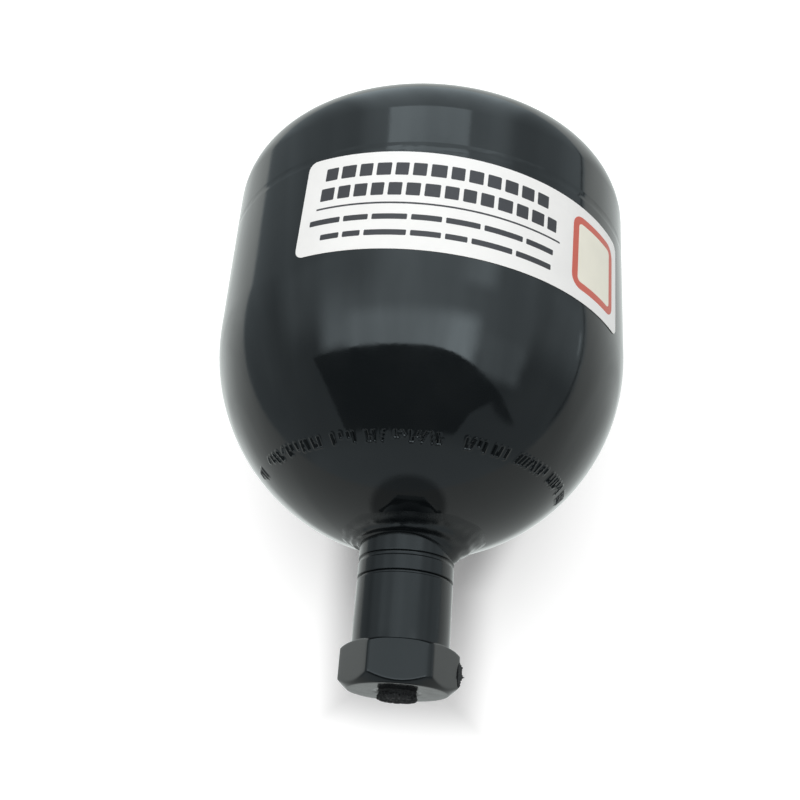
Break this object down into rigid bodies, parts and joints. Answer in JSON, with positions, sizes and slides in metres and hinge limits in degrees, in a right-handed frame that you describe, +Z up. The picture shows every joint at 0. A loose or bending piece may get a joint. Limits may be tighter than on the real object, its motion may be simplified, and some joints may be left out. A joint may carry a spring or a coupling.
{
  "type": "transmission accumulator",
  "caption": "Round welded steel diaphragm accumulator with a domed lower end, hexagon port neck with transit plug, gas charging boss, inner rubber diaphragm with button, and wrapped label.",
  "frame": {"origin": "centre of the port's end face, where the oil line screws in", "axes": "+Z up the vessel's axis from the port to the gas end, -Y the side that the label faces, within 15 degrees"},
  "size_m": [0.136, 0.1362, 0.2142],
  "materials": {
    "black_paint": "gloss",
    "steel": "machined",
    "plated_steel": "zinc plated",
    "rubber": "moulded",
    "stopper_plastic": "matt, torn at the end",
    "label_film": "satin film"
  },
  "bodies": {
    "vessel": {"lower_shell": "black_paint", "upper_shell": "black_paint", "girth_weld": "black_paint", "clamp_ring": "steel", "port_fitting": "black_paint", "neck_weld": "black_paint", "gas_boss": "black_paint", "boss_weld": "black_paint", "charging_screw": "plated_steel", "screw_seal": "rubber", "label": "label_film"},
    "bladder": {"diaphragm": "rubber", "closure_button": "steel"},
    "plug": {"port_plug": "stopper_plastic"}
  },
  "joints": [
    {"name": "button_lift", "type": "slide", "parent": "vessel", "child": "bladder", "axis": [0, 0, 1], "range_m": [0, 0.11], "deforming": ["diaphragm"]},
    {"name": "plug_pull", "type": "slide", "parent": "vessel", "child": "plug", "axis": [0, 0, -1], "range_m": [0, 0.025]}
  ]
}
